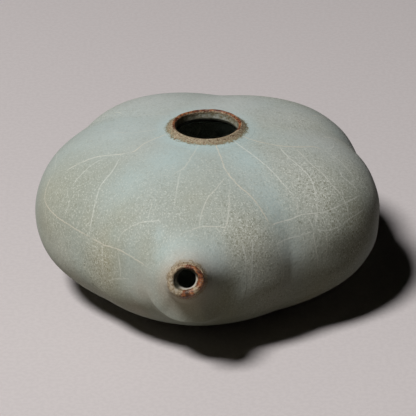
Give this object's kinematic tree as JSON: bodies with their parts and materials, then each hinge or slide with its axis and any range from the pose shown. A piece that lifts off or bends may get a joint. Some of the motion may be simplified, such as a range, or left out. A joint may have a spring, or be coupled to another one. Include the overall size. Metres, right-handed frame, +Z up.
{
  "type": "water dropper",
  "caption": "Squat five-lobed ceramic water dropper with a round filling mouth on top and a short conical drip spout low on one side.",
  "frame": {"origin": "on the table, under the middle of the whole outline with the spout, at the foot ring's contact plane", "axes": "+Z up through the filling mouth, the spout points towards -Y, +X to the right seen from the spout side"},
  "size_m": [0.0932, 0.0996, 0.0484],
  "materials": {
    "celadon_glaze": "satin crackled celadon glaze",
    "iron_brown_rim": "thin glaze burnt brown over iron-bearing clay",
    "bare_clay": "matt unglazed fired clay"
  },
  "bodies": {
    "root": {"upper_wall": "celadon_glaze", "lower_wall": "celadon_glaze", "spout_cone": "celadon_glaze", "base_disc": "celadon_glaze", "mouth_collar": "iron_brown_rim", "spout_lip": "iron_brown_rim", "foot_ring": "bare_clay", "seam_coil": "bare_clay"}
  },
  "joints": []
}
